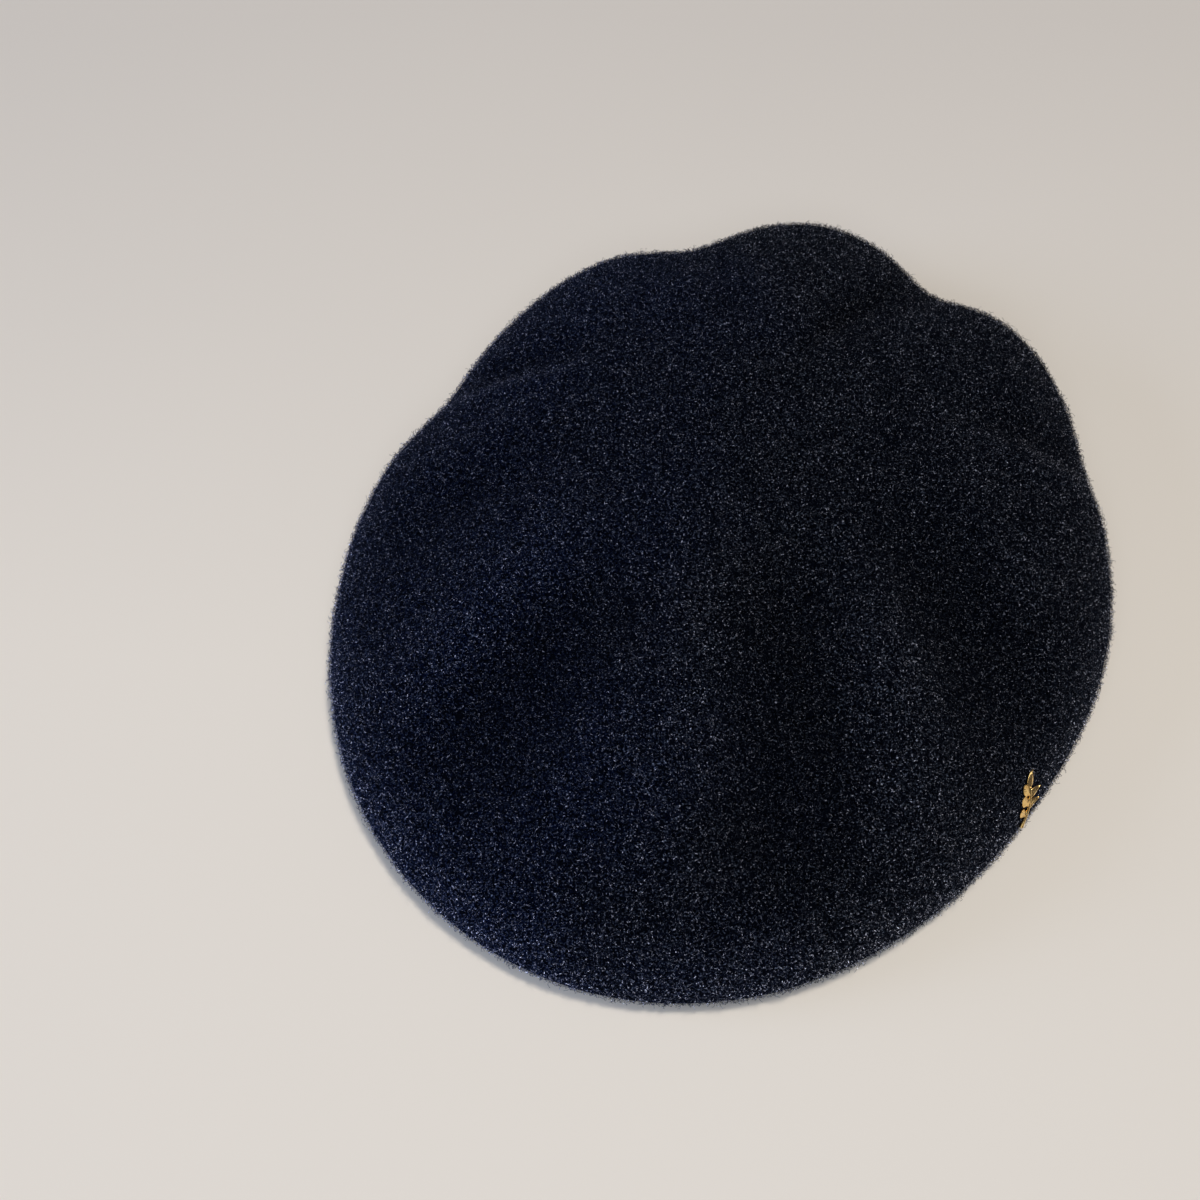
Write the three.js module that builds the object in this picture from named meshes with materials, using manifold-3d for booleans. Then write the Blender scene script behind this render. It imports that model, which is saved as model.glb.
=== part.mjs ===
// A fulled-knit wool beret lying on its head opening, with a small gilt leaf sprig pinned at its rim.
// Millimetres, +Z up. The beret stands on the flat ring of cloth around its head opening.
import * as THREE from "three";
import { mergeVertices } from "three/addons/utils/BufferGeometryUtils.js";
import Module from "manifold-3d";

const wasm = await Module();
wasm.setup();

// ---- Driving dimensions of the beret, in millimetres and degrees
const WALL = 2.5; // fulled knit
const RIM = { radius: 144, oval: 0.072, ovalAt: 52 }; // widest line of the crown, a slight oval
const RIM_HEIGHT = { front: 6, back: 18 }; // how high that line lies above the table
const APEX = { x: 22, y: 40, z: 58 }; // middle of the crown, slumped towards the back right
const FULLNESS = { front: 2.4, back: 2.9 }; // exponent of the crown's curve: larger is boxier
const UNDERSIDE = { turn: 9, low: 1 }; // width of the turned rim, and its lowest height
const OPENING = { radius: 85, ring: 101, oval: 0.03 }; // head opening, and the ring that rests

// Soft folds of the crown. Each runs from its inner to its outer point in plan, is inner.half to
// outer.half wide on each side of its line, and rises, or sinks where rise is negative.
const FOLDS = [
  { name: "front hollow", inner: [19, 3], outer: [17, -122], half: [26, 32], rise: -7 },
  { name: "left front ridge", inner: [-12, -4], outer: [-27, -118], half: [20, 28], rise: 3.5 },
  { name: "left hollow", inner: [-34, -4], outer: [-92, -84], half: [28, 34], rise: -7 },
  { name: "left ridge", inner: [-34, 18], outer: [-118, -54], half: [20, 26], rise: 3.5 },
  { name: "left back hollow", inner: [-42, 46], outer: [-126, 4], half: [17, 23], rise: -3.5 },
  { name: "left crease", inner: [-38, 77], outer: [-106, 69], half: [12, 15], rise: -4 },
  { name: "right front ridge", inner: [41, -2], outer: [66, -114], half: [18, 26], rise: 4.5 },
  { name: "right hollow", inner: [52, 26], outer: [98, -64], half: [26, 33], rise: -5.5 },
  { name: "right crease", inner: [86, 46], outer: [130, 32], half: [12, 16], rise: -3 },
  { name: "back crease", inner: [4, 64], outer: [-4, 140], half: [16, 20], rise: -2 },
  { name: "right back crease", inner: [32, 72], outer: [84, 118], half: [12, 16], rise: -2 },
];

// Where along its line a fold grows to its full rise, and where it fades out again: 0 is the inner
// point and 1 the outer.
const FOLD_GROWS = { from: -0.1, to: 0.5 };
const FOLD_FADES = { from: 0.7, to: 1.2 };

// Lobes and notches of the rim: the angle of each, its half width, and how far it moves the rim
// out and up.
const LOBES = [
  { name: "left notch", at: 145, half: 17, out: -4, up: -2 },
  { name: "back left lobe", at: 110, half: 25, out: 4, up: 3 },
  { name: "back notch", at: 95, half: 13, out: -3, up: -1.5 },
  { name: "back lobe", at: 75, half: 22, out: 8, up: 4 },
  { name: "right back notch", at: 54, half: 12, out: -5, up: -2.5 },
  { name: "right lobe", at: 40, half: 21, out: 3.5, up: 2.5 },
  { name: "right notch", at: 18, half: 12, out: -2, up: -1 },
  { name: "right front lobe", at: -15, half: 26, out: 2.5, up: 0 },
];

// ---- Driving dimensions of the sprig and its fastening
const SPRIG = {
  at: -40, // angle of its post around the rim
  station: 0.83, // place of its post between the apex, 0, and the rim, 1
  turn: 34, // lean of its stem from the upright, towards the back of the hat
  standOff: 0.6, // metal to cloth
  stem: { from: -9, to: 5, bow: 0.9, radius: 0.55, steps: 12 },
  leafThickness: 0.9,
};
const LEAVES = [
  { name: "tip leaf", along: 4, heading: 0, length: 6.4, width: 3.1 },
  { name: "upper left leaf", along: 2.2, heading: -46, length: 5.6, width: 2.8 },
  { name: "upper right leaf", along: 0.9, heading: 44, length: 5.6, width: 2.8 },
  { name: "middle left leaf", along: -1.4, heading: -52, length: 5.8, width: 2.9 },
  { name: "middle right leaf", along: -2.9, heading: 50, length: 5.8, width: 2.9 },
  { name: "lower left leaf", along: -5, heading: -56, length: 5.2, width: 2.6 },
];
const POST = { radius: 0.6, inside: 5.2 }; // inside is its length past the cloth
const CLUTCH = { radius: 4, disc: 0.9, hubRadius: 2.2, height: 3.4, standOff: 0.7 };
const CLEARANCE = 0.3; // around the post, in the cloth and in the clutch

// ---- Mesh steps
const AROUND = 80;
const CROWN_STEPS = 20;
const TURN_STEPS = 5;
const SLOPE_STEPS = 2;
const ROUND_STEPS = 16;

const radians = THREE.MathUtils.degToRad;
const mix = THREE.MathUtils.lerp;

// 1 at the middle, 0 from 1 outwards, smooth in between.
function bell(distance) {
  const d = Math.min(Math.abs(distance), 1);
  return (Math.cos(Math.PI * d) + 1) / 2;
}

// How far round towards the back a direction lies: 0 at the front, 1 at the back.
function backness(angle) {
  return (1 + Math.sin(angle)) / 2;
}

function oval(angle, share) {
  return 1 + share * Math.cos(2 * (angle - radians(RIM.ovalAt)));
}

// What the lobes add at an angle: out or up.
function lobes(angle, way) {
  let sum = 0;
  for (const lobe of LOBES) {
    const apart = THREE.MathUtils.euclideanModulo(angle - radians(lobe.at) + Math.PI, 2 * Math.PI);
    sum += lobe[way] * bell((apart - Math.PI) / radians(lobe.half));
  }
  return sum;
}

// What the folds add at a point of the crown's plan.
function foldHeight(x, y) {
  let sum = 0;
  for (const { inner, outer, half, rise } of FOLDS) {
    const dx = outer[0] - inner[0];
    const dy = outer[1] - inner[1];
    const length = Math.hypot(dx, dy);
    const along = ((x - inner[0]) * dx + (y - inner[1]) * dy) / length ** 2;
    const across = ((y - inner[1]) * dx - (x - inner[0]) * dy) / length;
    const before = Math.max(-along, 0) * length;
    const width = mix(half[0], half[1], THREE.MathUtils.clamp(along, 0, 1));
    const grown = THREE.MathUtils.smoothstep(along, FOLD_GROWS.from, FOLD_GROWS.to);
    const faded = THREE.MathUtils.smoothstep(along, FOLD_FADES.from, FOLD_FADES.to);
    sum += rise * grown * (1 - faded) * bell(Math.hypot(across, before) / width);
  }
  return sum;
}

function rimRadius(angle) {
  return RIM.radius * oval(angle, RIM.oval) + lobes(angle, "out");
}

function rimHeight(angle) {
  return mix(RIM_HEIGHT.front, RIM_HEIGHT.back, backness(angle) ** 1.5) + lobes(angle, "up");
}

// A point of the crown's outer face: station 0 is the apex, 1 the rim.
function crownPoint(angle, station) {
  const turn = (station * Math.PI) / 2;
  const out = Math.sin(turn) ** (2 / mix(FULLNESS.front, FULLNESS.back, backness(angle)));
  const high = Math.cos(turn);
  const radius = rimRadius(angle);
  const x = mix(APEX.x, radius * Math.cos(angle), out);
  const y = mix(APEX.y, radius * Math.sin(angle), out);
  const folds = foldHeight(x, y) * THREE.MathUtils.smoothstep(high, 0, 0.6);
  return new THREE.Vector3(x, y, mix(rimHeight(angle), APEX.z, high) + folds);
}

// A point of the underside's outer face, as its radius and height: 0 is the rim, 1 the end of the
// turned edge, 2 the start of the flat ring, 3 the head opening.
function undersidePoint(angle, place) {
  const edge = rimRadius(angle) - UNDERSIDE.turn;
  const ring = OPENING.ring * oval(angle, OPENING.oval);
  const opening = OPENING.radius * oval(angle, OPENING.oval);
  let radius, height;
  if (place <= 1) {
    const turn = (place * Math.PI) / 2;
    radius = edge + UNDERSIDE.turn * Math.cos(turn);
    height = mix(rimHeight(angle), UNDERSIDE.low, Math.sin(turn));
  } else if (place <= 2) {
    radius = mix(edge, ring, place - 1);
    height = UNDERSIDE.low * (2 - place) ** 1.5;
  } else {
    radius = mix(ring, opening, place - 2);
    height = 0;
  }
  return new THREE.Vector3(radius * Math.cos(angle), radius * Math.sin(angle), height);
}

// The outer face in one run, from the apex at 0 over the rim at 1 to the head opening at 4.
function outerPoint(angle, run) {
  return run <= 1 ? crownPoint(angle, run) : undersidePoint(angle, run - 1);
}

// Place and directions on the crown: p the point, t along the rim, u up the crown, n out of it.
function frameAt(angle, run) {
  const step = 1e-3;
  const p = outerPoint(angle, run);
  const t = outerPoint(angle + step, run).sub(outerPoint(angle - step, run));
  const u = outerPoint(angle, run - step).sub(outerPoint(angle, run + step));
  const perRadian = t.length() / (2 * step);
  const perRun = u.length() / (2 * step);
  t.normalize();
  const n = new THREE.Vector3().crossVectors(t, u).normalize();
  u.crossVectors(n, t);
  return { p, t, u, n, perRadian, perRun };
}

// A closed geometry from rings of points. The first and last rows may be single points.
function skin(rows) {
  const points = rows.flat();
  const starts = rows.map((row, i) => rows.slice(0, i).flat().length);
  const index = [];
  for (let r = 0; r + 1 < rows.length; r++) {
    for (let i = 0; i < AROUND; i++) {
      const j = (i + 1) % AROUND;
      const a = starts[r];
      const b = starts[r + 1];
      if (rows[r].length === 1) index.push(a, b + i, b + j);
      else if (rows[r + 1].length === 1) index.push(a + i, b, a + j);
      else index.push(a + i, b + i, b + j, a + i, b + j, a + j);
    }
  }
  return new THREE.BufferGeometry().setFromPoints(points).setIndex(index);
}

// The whole cloth: outer face from the apex to the opening, its rounded edge, and the inner face.
function shellGeometry() {
  const runs = [];
  for (let i = 1; i <= CROWN_STEPS; i++) runs.push(i / CROWN_STEPS);
  for (let i = 1; i <= TURN_STEPS; i++) runs.push(1 + i / TURN_STEPS);
  for (let i = 1; i <= SLOPE_STEPS; i++) runs.push(2 + i / SLOPE_STEPS);
  runs.push(4);
  const angles = Array.from({ length: AROUND }, (_, i) => (i * 2 * Math.PI) / AROUND);
  const outside = runs.map((run) => angles.map((angle) => outerPoint(angle, run)));
  const inside = runs.map((run) =>
    angles.map((angle) => {
      // On the flat ring the cloth is level, so its inner face lies straight above.
      const n = run > 3 ? new THREE.Vector3(0, 0, -1) : frameAt(angle, run).n;
      return outerPoint(angle, run).addScaledVector(n, -WALL);
    }),
  );
  const edge = angles.map((angle) => {
    const p = outerPoint(angle, 4);
    const inward = new THREE.Vector3(-Math.cos(angle), -Math.sin(angle), 0);
    return p.addScaledVector(inward, WALL / 3).setZ(WALL / 2);
  });
  const apex = new THREE.Vector3(APEX.x, APEX.y, crownPoint(0, 0).z);
  const innerApex = apex.clone().setZ(apex.z - WALL);
  return skin([[apex], ...outside, edge, ...inside.reverse(), [innerApex]]);
}

// ---- Joining and cutting
function solidOf(geometry) {
  const bare = geometry.clone();
  bare.deleteAttribute("normal");
  bare.deleteAttribute("uv");
  const merged = mergeVertices(bare, 1e-4);
  return new wasm.Manifold(
    new wasm.Mesh({
      numProp: 3,
      vertProperties: merged.attributes.position.array,
      triVerts: new Uint32Array(merged.index.array),
    }),
  );
}

function geometryOf(solid) {
  const mesh = solid.getMesh();
  return new THREE.BufferGeometry()
    .setAttribute("position", new THREE.BufferAttribute(mesh.vertProperties, 3))
    .setIndex(new THREE.BufferAttribute(mesh.triVerts, 1));
}

// ---- Sprig
const seat = frameAt(radians(SPRIG.at), SPRIG.station);

// The crown's frame under a point of the sprig, whose y runs along the stem and x across it.
function underSprig(x, y) {
  const lean = radians(SPRIG.turn);
  const sideways = y * Math.sin(lean) + x * Math.cos(lean);
  const upwards = y * Math.cos(lean) - x * Math.sin(lean);
  return frameAt(
    radians(SPRIG.at) + sideways / seat.perRadian,
    SPRIG.station - upwards / seat.perRun,
  );
}

// The matrix that stands a piece on the crown at (x, y) of the sprig, its own +Y turned by
// heading from the stem's direction and its +Z out of the cloth.
function onCloth(x, y, heading, lift) {
  const { p, t, u, n } = underSprig(x, y);
  const angle = radians(SPRIG.turn + heading);
  const ahead = t.clone().multiplyScalar(Math.sin(angle)).addScaledVector(u, Math.cos(angle));
  const side = new THREE.Vector3().crossVectors(ahead, n);
  return new THREE.Matrix4()
    .makeBasis(side, ahead, n)
    .setPosition(p.clone().addScaledVector(n, lift));
}

// Sideways bow of the stem at a distance along it.
function stemBow(along) {
  const { from, to, bow } = SPRIG.stem;
  return bow * Math.sin((Math.PI * (along - from)) / (to - from));
}

function stemGeometry() {
  const { from, to, radius, steps } = SPRIG.stem;
  const points = [];
  for (let i = 0; i <= steps; i++) {
    const y = mix(from, to, i / steps);
    const { p, n } = underSprig(stemBow(y), y);
    points.push(p.clone().addScaledVector(n, SPRIG.standOff + radius));
  }
  const section = new THREE.Shape().absarc(0, 0, radius, 0, 2 * Math.PI, false);
  return new THREE.ExtrudeGeometry(section, {
    steps,
    curveSegments: 4,
    extrudePath: new THREE.CatmullRomCurve3(points),
  });
}

// A pointed oval leaf with chamfered edges, standing on the cloth under its own middle.
function leafGeometry({ along, heading, length, width }) {
  const bevel = SPRIG.leafThickness / 3;
  const reach = length / 2 - bevel;
  const belly = width - 2 * bevel;
  const outline = new THREE.Shape()
    .moveTo(0, -reach)
    .quadraticCurveTo(belly, 0, 0, reach)
    .quadraticCurveTo(-belly, 0, 0, -reach);
  const leaf = new THREE.ExtrudeGeometry(outline, {
    depth: SPRIG.leafThickness - 2 * bevel,
    bevelThickness: bevel,
    bevelSize: bevel,
    bevelSegments: 1,
    curveSegments: 6,
  });
  const turn = radians(heading);
  const middle = length / 2;
  const x = stemBow(along) + middle * Math.sin(turn);
  const y = along + middle * Math.cos(turn);
  return leaf.applyMatrix4(onCloth(x, y, heading, SPRIG.standOff + bevel));
}

// A round rod along the post's axis, from one height over the cloth to another.
function rodGeometry(radius, from, to) {
  const rod = new THREE.CylinderGeometry(radius, radius, to - from, ROUND_STEPS);
  rod.rotateX(Math.PI / 2).translate(0, 0, (from + to) / 2);
  return rod.applyMatrix4(onCloth(0, 0, 0, 0));
}

function ornamentGeometry() {
  let solid = solidOf(stemGeometry());
  for (const leaf of LEAVES) solid = solid.add(solidOf(leafGeometry(leaf)));
  // A small boss carries the post, which stands beside the bowed stem.
  const top = SPRIG.standOff + SPRIG.leafThickness;
  solid = solid.add(solidOf(rodGeometry(2 * POST.radius, SPRIG.standOff, top)));
  solid = solid.add(solidOf(rodGeometry(POST.radius, -WALL - POST.inside, top)));
  return geometryOf(solid);
}

function crownGeometry() {
  const hole = solidOf(rodGeometry(POST.radius + CLEARANCE, -2 * WALL, WALL));
  return geometryOf(solidOf(shellGeometry()).subtract(hole));
}

// A disc and hub turned in one piece, open along the post.
function clutchGeometry() {
  const bore = POST.radius + CLEARANCE;
  const { radius, disc, hubRadius, height, standOff } = CLUTCH;
  const profile = [
    [bore, 0],
    [bore, -height],
    [hubRadius, -height],
    [hubRadius, -disc],
    [radius, -disc],
    [radius, 0],
    [bore, 0],
  ].map(([r, h]) => new THREE.Vector2(r, h));
  const turned = new THREE.LatheGeometry(profile, ROUND_STEPS);
  turned.rotateX(Math.PI / 2);
  return turned.applyMatrix4(onCloth(0, 0, 0, -WALL - standOff));
}

// ---- Materials
const wool = new THREE.MeshStandardMaterial({ color: 0x11131c, roughness: 0.95, metalness: 0 });
const gilt = new THREE.MeshStandardMaterial({ color: 0xd8a548, roughness: 0.28, metalness: 1 });
const brass = new THREE.MeshStandardMaterial({ color: 0xb9a06a, roughness: 0.4, metalness: 1 });

function named(name, geometry, material) {
  const mesh = new THREE.Mesh(geometry, material);
  mesh.name = name;
  return mesh;
}

const beret = new THREE.Group();
const crown = named("crown", crownGeometry(), wool);
beret.add(crown);
beret.add(named("ornament", ornamentGeometry(), gilt));
beret.add(named("clutch", clutchGeometry(), brass));

// The origin is the middle of the beret's footprint, on the table.
const middle = new THREE.Box3().setFromObject(beret).getCenter(new THREE.Vector3());
beret.position.set(-middle.x, -middle.y, 0);

export default beret;
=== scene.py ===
"""A fulled-knit wool beret lying on its head opening, with a gilt leaf sprig pinned by its rim.

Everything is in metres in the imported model's frame, +Z up. The cloth is worked out from the same
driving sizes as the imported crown, only finer and with a few more small creases, and the nap grows
out of the finished cloth.
"""

import logging
import math
from dataclasses import dataclass
from enum import Enum

import bpy
import numpy as np
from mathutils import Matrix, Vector
from mathutils.bvhtree import BVHTree


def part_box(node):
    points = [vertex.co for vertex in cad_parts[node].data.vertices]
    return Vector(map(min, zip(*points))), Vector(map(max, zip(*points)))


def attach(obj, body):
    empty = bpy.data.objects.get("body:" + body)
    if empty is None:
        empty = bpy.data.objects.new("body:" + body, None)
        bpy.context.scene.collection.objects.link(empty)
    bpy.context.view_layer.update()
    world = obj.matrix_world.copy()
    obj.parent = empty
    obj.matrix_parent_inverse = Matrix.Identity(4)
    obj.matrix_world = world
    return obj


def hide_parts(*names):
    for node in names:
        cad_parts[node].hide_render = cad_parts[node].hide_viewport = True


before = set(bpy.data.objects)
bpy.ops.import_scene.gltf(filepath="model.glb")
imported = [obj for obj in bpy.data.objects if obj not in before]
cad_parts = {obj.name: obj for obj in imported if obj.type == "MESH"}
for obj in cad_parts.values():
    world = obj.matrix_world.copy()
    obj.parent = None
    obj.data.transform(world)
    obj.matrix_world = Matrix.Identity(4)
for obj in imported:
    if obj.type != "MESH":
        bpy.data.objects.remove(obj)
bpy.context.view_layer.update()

LOG = logging.getLogger("beret")
MM = 0.001
FULL_TURN = 2 * math.pi


# ---- Curves that the whole form shares


def bell(distance: np.ndarray) -> np.ndarray:
    """Gives a smooth hump: 1 at the middle, 0 from 1 outwards.

    Args:
        distance: how far from the middle, in half widths.

    Returns:
        The hump's height at each distance.
    """
    return (np.cos(np.pi * np.clip(np.abs(distance), 0, 1)) + 1) / 2


def smoothstep(value: np.ndarray, low: float, high: float) -> np.ndarray:
    """Gives a smooth step from 0 at low to 1 at high.

    Args:
        value: where to read the step.
        low: the value up to which it is 0.
        high: the value from which it is 1.

    Returns:
        The step's height at each value.
    """
    t = np.clip((value - low) / (high - low), 0, 1)
    return t * t * (3 - 2 * t)


def mix(a: np.ndarray, b: np.ndarray, share: np.ndarray) -> np.ndarray:
    """Goes from a, at share 0, to b, at share 1."""
    return a + (b - a) * share


def unit(vectors: np.ndarray) -> np.ndarray:
    """Brings each vector of an array to length 1."""
    return vectors / np.linalg.norm(vectors, axis=-1, keepdims=True)


# ---- The form of the beret


@dataclass(frozen=True)
class Fold:
    """One soft fold of the crown, a straight line in plan.

    It is half_inner to half_outer wide on each side of its line, and rises, or sinks where rise is
    negative. Lengths are in millimetres.
    """

    name: str
    inner: tuple[float, float]
    outer: tuple[float, float]
    half_inner: float
    half_outer: float
    rise: float


@dataclass(frozen=True)
class Lobe:
    """One lobe or notch of the rim: its angle and half width in degrees, its shifts in millimetres."""

    name: str
    at: float
    half: float
    out: float
    up: float


FOLDS = (
    Fold("front hollow", (19, 3), (17, -122), 26, 32, -7),
    Fold("left front ridge", (-12, -4), (-27, -118), 20, 28, 3.5),
    Fold("left hollow", (-34, -4), (-92, -84), 28, 34, -7),
    Fold("left ridge", (-34, 18), (-118, -54), 20, 26, 3.5),
    Fold("left back hollow", (-42, 46), (-126, 4), 17, 23, -3.5),
    Fold("left crease", (-38, 83), (-108, 75), 11, 13, -4.5),
    Fold("left welt", (-46, 71), (-108, 64), 6, 8, 2.4),
    Fold("right front ridge", (41, -2), (66, -114), 18, 26, 4.5),
    Fold("right hollow", (52, 26), (98, -64), 26, 33, -5.5),
    Fold("right crease", (80, 54), (134, 41), 9, 12, -3.5),
    Fold("right welt", (84, 41), (136, 28), 7, 9, 2.2),
    Fold("back tuck", (22, 72), (68, 113), 6, 7, -6),
    Fold("back crease", (4, 64), (-4, 140), 16, 20, -2),
    Fold("right back crease", (32, 72), (84, 118), 12, 16, -2),
)

LOBES = (
    Lobe("left notch", 145, 17, -4, -2),
    Lobe("back left lobe", 110, 25, 4, 3),
    Lobe("back notch", 95, 13, -3, -1.5),
    Lobe("back lobe", 75, 22, 8, 4),
    Lobe("right back notch", 54, 12, -5, -2.5),
    Lobe("right lobe", 40, 21, 3.5, 2.5),
    Lobe("right notch", 18, 12, -2, -1),
    Lobe("right front lobe", -15, 26, 2.5, 0),
)


@dataclass(frozen=True)
class BeretForm:
    """The outer face of the beret, in millimetres, from the same driving sizes as the CAD crown.

    A point is named by its angle round the hat and its run down the cloth: 0 is the apex, 1 the
    rim, 2 the end of the turned edge, 3 the start of the flat ring and 4 the head opening. A fold
    comes up over fold_grows and dies away over fold_fades, both as shares of its line, and is whole
    from fold_high up, a share of the way from rim to apex. A fold of fold_full gives most of its
    painted shade, in a hollow, and of its painted highlight, on a ridge.
    """

    wall: float = 2.5
    rim: float = 144
    rim_oval: float = 0.072
    oval_at: float = 52
    rim_front: float = 6
    rim_back: float = 18
    rim_power: float = 1.5
    apex: tuple[float, float, float] = (22, 40, 58)
    full_front: float = 2.4
    full_back: float = 2.9
    fold_grows: tuple[float, float] = (-0.1, 0.5)
    fold_fades: tuple[float, float] = (0.7, 1.2)
    fold_high: float = 0.6
    # Painted shading: painted shade in fold hollows and painted highlight on ridges, plus a painted
    # highlight at the rim that fades out between two heights in mm.
    fold_full: float = 5
    rim_highlight: float = 2.8
    rim_highlight_fades: tuple[float, float] = (10, 35)
    turn: float = 9
    low: float = 1
    slope_power: float = 1.5
    opening: float = 85
    ring: float = 101
    opening_oval: float = 0.03

    def oval(self, angle: np.ndarray, share: float) -> np.ndarray:
        """Gives the factor that makes a round line a slight oval."""
        return 1 + share * np.cos(2 * (angle - math.radians(self.oval_at)))

    def lobes(self, angle: np.ndarray, way: str) -> np.ndarray:
        """Adds up what the lobes do to the rim at an angle, way being "out" or "up"."""
        total = np.zeros_like(angle)
        for lobe in LOBES:
            apart = (angle - math.radians(lobe.at) + np.pi) % FULL_TURN - np.pi
            total = total + getattr(lobe, way) * bell(apart / math.radians(lobe.half))
        return total

    def rim_radius(self, angle: np.ndarray) -> np.ndarray:
        """Gives the rim's radius in plan at an angle."""
        return self.rim * self.oval(angle, self.rim_oval) + self.lobes(angle, "out")

    def rim_height(self, angle: np.ndarray) -> np.ndarray:
        """Gives the rim's height over the table at an angle."""
        backness = (1 + np.sin(angle)) / 2
        return mix(self.rim_front, self.rim_back, backness**self.rim_power) + self.lobes(angle, "up")

    def folds(self, x: np.ndarray, y: np.ndarray) -> np.ndarray:
        """Adds up what the folds do to the crown's height at a place in plan."""
        total = np.zeros_like(x)
        for fold in FOLDS:
            (ix, iy), (ox, oy) = fold.inner, fold.outer
            dx, dy = ox - ix, oy - iy
            length = math.hypot(dx, dy)
            along = ((x - ix) * dx + (y - iy) * dy) / length**2
            across = ((y - iy) * dx - (x - ix) * dy) / length
            before = np.maximum(-along, 0) * length
            width = mix(fold.half_inner, fold.half_outer, np.clip(along, 0, 1))
            grown = smoothstep(along, *self.fold_grows) * (1 - smoothstep(along, *self.fold_fades))
            total = total + fold.rise * grown * bell(np.hypot(across, before) / width)
        return total

    def crown(self, angle: np.ndarray, station: np.ndarray) -> np.ndarray:
        """Gives points of the crown, station being 0 at the apex and 1 at the rim."""
        turn = station * np.pi / 2
        fullness = mix(self.full_front, self.full_back, (1 + np.sin(angle)) / 2)
        out = np.sin(turn) ** (2 / fullness)
        high = np.cos(turn)
        radius = self.rim_radius(angle)
        x = mix(self.apex[0], radius * np.cos(angle), out)
        y = mix(self.apex[1], radius * np.sin(angle), out)
        z = mix(self.rim_height(angle), self.apex[2], high)
        z = z + self.folds(x, y) * smoothstep(high, 0, self.fold_high)
        return np.stack([x, y, z], axis=-1)

    def underside(self, angle: np.ndarray, place: np.ndarray) -> np.ndarray:
        """Gives points of the underside, place being 0 at the rim and 3 at the head opening."""
        edge = self.rim_radius(angle) - self.turn
        ring = self.ring * self.oval(angle, self.opening_oval)
        opening = self.opening * self.oval(angle, self.opening_oval)
        turn = np.clip(place, 0, 1) * np.pi / 2
        slope = np.clip(place - 1, 0, 1)
        radius = edge + self.turn * np.cos(turn) + (ring - edge) * slope
        radius = radius + (opening - ring) * np.clip(place - 2, 0, 1)
        turned = mix(self.rim_height(angle), self.low, np.sin(turn))
        height = np.where(place <= 1, turned, self.low * (1 - slope) ** self.slope_power)
        return np.stack([radius * np.cos(angle), radius * np.sin(angle), height], axis=-1)

    def outer(self, angle: np.ndarray, run: np.ndarray) -> np.ndarray:
        """Gives points of the outer face, in millimetres from the head opening's middle.

        Args:
            angle: angles round the hat, in radians.
            run: places down the cloth, 0 to 4, one for each angle.

        Returns:
            The points, in an array with a last axis of three.
        """
        angle, run = np.broadcast_arrays(np.asarray(angle, float), np.asarray(run, float))
        above = self.crown(angle, np.clip(run, 0, 1))
        below = self.underside(angle, np.clip(run - 1, 0, 3))
        return np.where((run <= 1)[..., None], above, below)

    def shift(self) -> np.ndarray:
        """Gives the move, in millimetres, that lays this form on the CAD crown's place in plan."""
        angle = np.linspace(0, FULL_TURN, 721)[None, :]
        points = self.outer(angle, np.linspace(0.5, 1.5, 41)[:, None]).reshape(-1, 3)
        middle = (points.min(0) + points.max(0)) / 2
        low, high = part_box("crown")
        target = (np.array(low) + np.array(high)) / 2 / MM
        return np.array([target[0] - middle[0], target[1] - middle[1], 0.0])

    def painted_shading(self, points: np.ndarray) -> np.ndarray:
        """Gives the painted shading at points in metres: -1 painted shade in a hollow, 1 painted
        highlight on a ridge.

        It rises highest, up to rim_highlight, as a painted highlight where the cloth turns under at the
        rim.
        """
        plan = points / MM - self.shift()
        high = plan[:, 2]
        height = self.folds(plan[:, 0], plan[:, 1]) / self.fold_full
        fold_shade = np.tanh(height) * smoothstep(high, self.rim_front, self.rim_back)
        # Painted highlight where the cloth turns under at the rim, on top of the painted fold shade and
        # highlight.
        return fold_shade + self.rim_highlight * (1 - smoothstep(high, *self.rim_highlight_fades))

    def steps(self, angle: np.ndarray, run: np.ndarray) -> tuple[np.ndarray, np.ndarray]:
        """Gives how the outer face moves for a unit of angle, and for a unit of run up the cloth."""
        step = 1e-3
        round_rim = self.outer(angle + step, run) - self.outer(angle - step, run)
        up_crown = self.outer(angle, run - step) - self.outer(angle, run + step)
        return round_rim / (2 * step), up_crown / (2 * step)


# ---- Small helpers around Blender's operators


def only(piece: bpy.types.Object) -> None:
    """Selects one object alone and makes it the active one."""
    nothing_selected()
    piece.select_set(True)
    bpy.context.view_layer.objects.active = piece


def nothing_selected() -> None:
    """Clears the selection, so that the next operator works on what it adds."""
    bpy.ops.object.select_all(action="DESELECT")


def just_added(name: str) -> bpy.types.Object:
    """Names the object that an operator has just added, and its mesh, and returns it."""
    piece = bpy.context.active_object
    piece.name = piece.data.name = name
    return piece


def apply_modifier(piece: bpy.types.Object, name: str, kind: str, **values: object) -> None:
    """Gives a piece a modifier and applies it at once.

    Args:
        piece: the piece to change.
        name: the modifier's name.
        kind: Blender's name for the kind of modifier.
        values: the modifier's settings.
    """
    only(piece)
    modifier = piece.modifiers.new(name, kind)
    for key, value in values.items():
        setattr(modifier, key, value)
    bpy.ops.object.modifier_apply(modifier=name)


def read_points(mesh: bpy.types.Mesh) -> np.ndarray:
    """Reads a mesh's vertices, a row each."""
    flat = np.empty(len(mesh.vertices) * 3, dtype=np.float32)
    mesh.vertices.foreach_get("co", flat)
    return flat.reshape(-1, 3)


def write_points(mesh: bpy.types.Mesh, points: np.ndarray) -> None:
    """Moves a mesh's vertices to new places, a row each."""
    mesh.vertices.foreach_set("co", points.astype(np.float32).ravel())
    mesh.update()


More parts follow.
